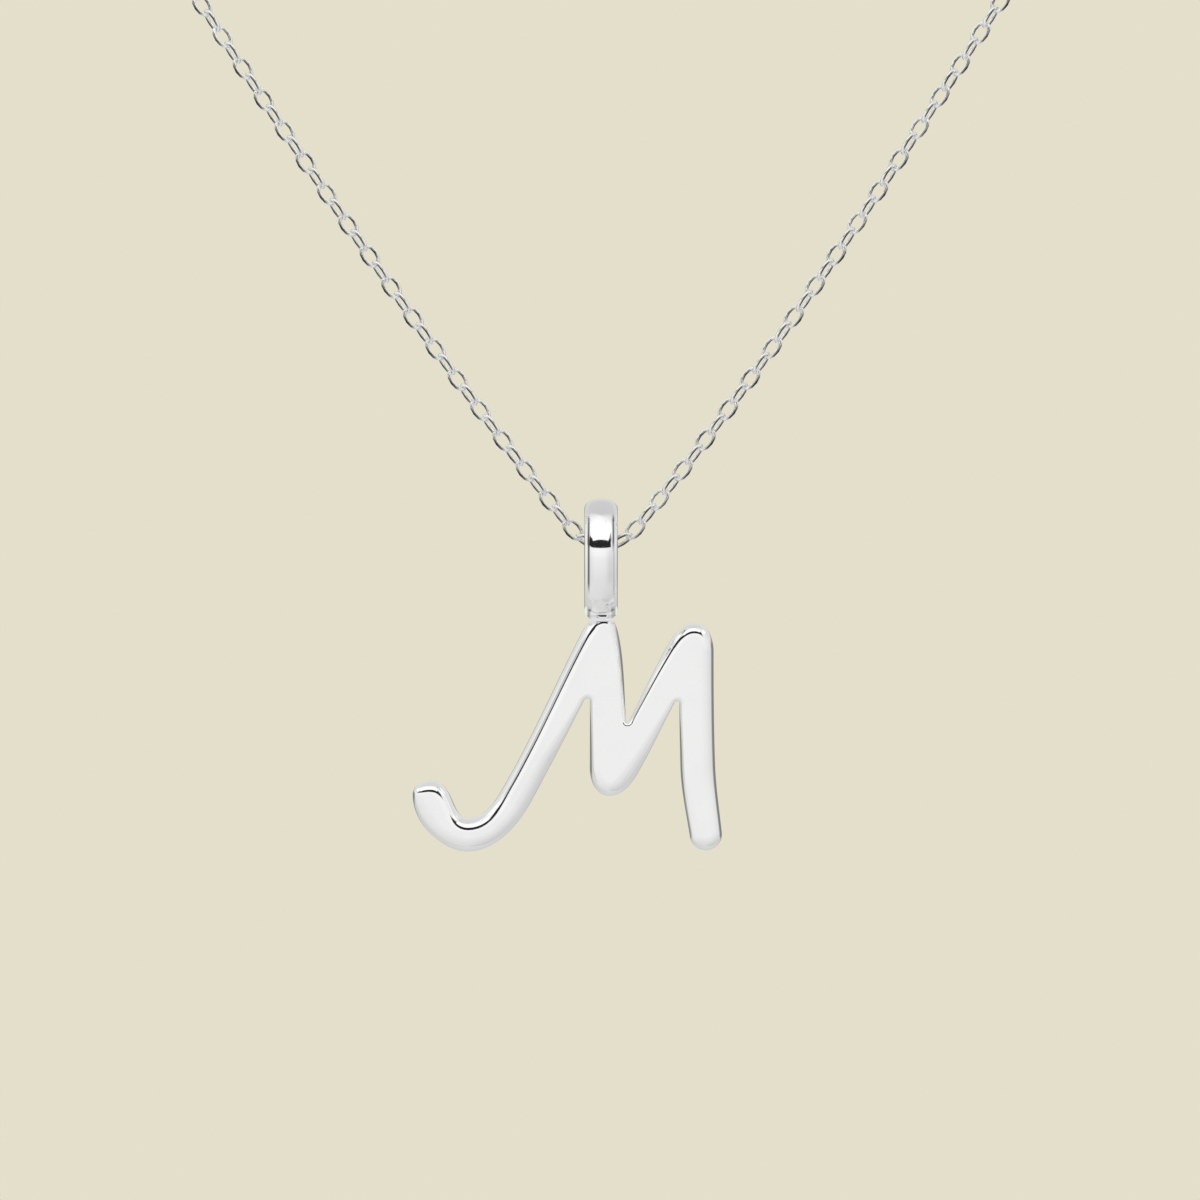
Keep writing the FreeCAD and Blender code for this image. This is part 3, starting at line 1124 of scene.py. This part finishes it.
@dataclass
class Studio:
    """A plain pale room with soft light, a black flag over the camera and one long lens."""

    background: tuple[float, float, float] = (0.776, 0.738, 0.597)
    floor_level: float = -0.30
    floor_radius: float = 0.9
    floor_colour: tuple[float, float, float] = (0.78, 0.75, 0.66)
    floor_roughness: float = 0.8
    lamp_place: tuple[float, float, float] = (0.45, -0.6, 0.55)
    lamp_size: float = 0.5
    lamp_energy: float = 6.0
    camera_distance: float = 0.5
    frame_width: float = 72.0 * MM
    frame_offset: tuple[float, float] = (-0.06 * MM, -3.27 * MM)
    sensor: float = 36.0
    # The room's grey by degrees of rise in front, by degrees of turn, and by degrees of rise behind
    front_tones: tuple[tuple[float, float], ...] = (
        (-90.0, 0.74), (-44.0, 0.78), (-23.0, 0.84), (-8.0, 0.875), (0.0, 0.90), (5.0, 0.95),
        (13.0, 0.975), (90.0, 0.92))
    turn_tones: tuple[tuple[float, float], ...] = (
        (-180.0, 0.72), (-138.0, 0.78), (-118.0, 0.88), (-95.0, 0.98), (-65.0, 1.01), (0.0, 1.0),
        (36.0, 0.95), (65.0, 0.91), (92.0, 0.86), (115.0, 0.80), (137.0, 0.74), (180.0, 0.70))
    rear_tones: tuple[tuple[float, float], ...] = (
        (-90.0, 0.74), (-40.0, 0.68), (-12.0, 0.62), (-6.0, 0.23), (5.0, 0.23), (11.0, 0.77),
        (28.0, 0.76), (38.0, 0.72), (90.0, 0.70))
    rear_from: tuple[float, float] = (112.0, 138.0)
    # The overhead box, in degrees up and over from the camera, and aside from upright
    box_grey: float = 1.12
    box_starts: tuple[float, float] = (34.6, 36.2)
    box_ends: tuple[float, float] = (69.0, 93.0)
    box_sides: tuple[float, float, float] = (-42.0, 39.0, 5.0)
    cards: tuple[Card, ...] = (
        # Grey screen beside the flag on the left
        Card((-96.0, -60.0), (14.0, 28.0), 0.56, 1.0, (16.0, 4.0)),
        # White sheets high on both sides
        Card((-124.0, -60.0), (31.0, 46.0), 1.05, 1.0, (10.0, 3.0)),
        Card((60.0, 120.0), (31.0, 46.0), 1.05, 1.0, (10.0, 3.0)),
        # Dark edge of the overhead box on the right
        Card((38.0, 54.0), (27.0, 74.0), 0.14, 0.8, (5.0, 4.0)),
        # The black flag
        Card((-66.0, 44.0), (18.6, 35.3), 0.02, 1.0, (3.0, 1.2)),
        # Pale wall straight behind, for the letter's back
        Card((174.0, 190.0), (-14.0, 12.0), 0.68, 1.0, (3.0, 6.0)),
        Card((-190.0, -174.0), (-14.0, 12.0), 0.68, 1.0, (3.0, 6.0)),
    )

    def make_camera(self) -> None:
        """Look straight at the letter along +Y from the photograph's place."""
        Bench.clear()
        across, up = self.frame_offset
        bpy.ops.object.camera_add(
            location=(HANG.x + across, HANG.y - self.camera_distance, HANG.z + up),
            rotation=(math.pi / 2, 0.0, 0.0))
        camera = bpy.context.object
        camera.data.sensor_width = self.sensor
        camera.data.lens = self.sensor * self.camera_distance / self.frame_width
        camera.data.clip_start = 0.01
        bpy.context.scene.camera = camera

    def make_floor(self) -> None:
        """Lay a pale floor well below the necklace."""
        Bench.clear()
        bpy.ops.mesh.primitive_circle_add(
            vertices=128, radius=self.floor_radius, fill_type="NGON",
            location=(0.0, HANG.y / 2, self.floor_level))
        floor = bpy.context.object
        Bench.settle(floor, "floor")
        floor.visible_glossy = False
        material = bpy.data.materials.new("pale floor")
        material.use_nodes = True
        shader = material.node_tree.nodes["Principled BSDF"]
        shader.inputs["Base Color"].default_value = (*self.floor_colour, 1.0)
        shader.inputs["Roughness"].default_value = self.floor_roughness
        floor.data.materials.append(material)

    def make_light(self) -> None:
        """Hang one broad soft light at the upper right."""
        Bench.clear()
        bpy.ops.object.light_add(type="AREA", location=self.lamp_place)
        lamp = bpy.context.object
        lamp.data.size = self.lamp_size
        lamp.data.energy = self.lamp_energy
        lamp.rotation_euler = (HANG - lamp.location).to_track_quat("-Z", "Y").to_euler()
        lamp.visible_glossy = False

    def make_surroundings(self) -> None:
        """Surround the silver with soft boxes, a black flag and a dim room behind."""
        world = bpy.data.worlds.new("studio")
        bpy.context.scene.world = world
        world.use_nodes = True
        world.node_tree.nodes.clear()
        sheet = NodeSheet(world.node_tree)
        x, y, z = sheet.split(sheet.add("ShaderNodeTexCoord").outputs["Generated"])
        ahead = sheet.math("MULTIPLY", y, -1.0)
        elevation = sheet.math("DEGREES", sheet.math("ARCSINE", z))
        azimuth = sheet.math("DEGREES", sheet.math("ARCTAN2", x, ahead))
        over = sheet.math("DEGREES", sheet.math("ARCTAN2", z, ahead))
        lean = sheet.math("DEGREES", sheet.math("ARCTAN2", x, z))

        front = sheet.math("MULTIPLY", sheet.curve(elevation, self.front_tones),
                           sheet.curve(azimuth, self.turn_tones))
        behind = sheet.step(sheet.math("ABSOLUTE", azimuth), *self.rear_from)
        grey = sheet.blend(behind, front, sheet.curve(elevation, self.rear_tones))
        for card in self.cards:
            grey = card.lay(sheet, grey, azimuth, elevation)
        box = sheet.math("SUBTRACT", sheet.step(over, *self.box_starts),
                         sheet.step(over, *self.box_ends))
        box = sheet.math("MULTIPLY", box, sheet.band(lean, *self.box_sides))
        grey = sheet.blend(box, grey, self.box_grey)

        studio = sheet.add("ShaderNodeBackground")
        sheet.join(grey, studio.inputs["Color"])
        plain = sheet.add("ShaderNodeBackground")
        plain.inputs["Color"].default_value = (*self.background, 1.0)
        mixed = sheet.add("ShaderNodeMixShader")
        sheet.join(sheet.add("ShaderNodeLightPath").outputs["Is Camera Ray"], mixed.inputs[0])
        sheet.join(studio.outputs[0], mixed.inputs[1])
        sheet.join(plain.outputs[0], mixed.inputs[2])
        sheet.join(mixed.outputs[0], sheet.add("ShaderNodeOutputWorld").inputs["Surface"])

    def build(self) -> None:
        """Set up the camera, the floor, the light and what the silver mirrors."""
        self.make_camera()
        self.make_floor()
        self.make_light()
        self.make_surroundings()
        bpy.context.scene.view_settings.view_transform = "Standard"


def main() -> None:
    """Build the studio and the three pieces, and report each."""
    logging.basicConfig(level=logging.INFO, format="%(message)s")
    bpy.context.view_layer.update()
    Studio().build()
    makers: list[tuple[Callable[[], bpy.types.Object], SilverFinish]] = [
        (CableChain().build, DRAWN),
        (InitialPendant().build, POLISHED),
        (RingClasp().build, WORN),
    ]
    for build, finish in makers:
        piece = build()
        finish.dress(piece)
        log.info("%s: %d faces, %s", piece.name, len(piece.data.polygons), finish.name)


if __name__ == "__main__":
    main()
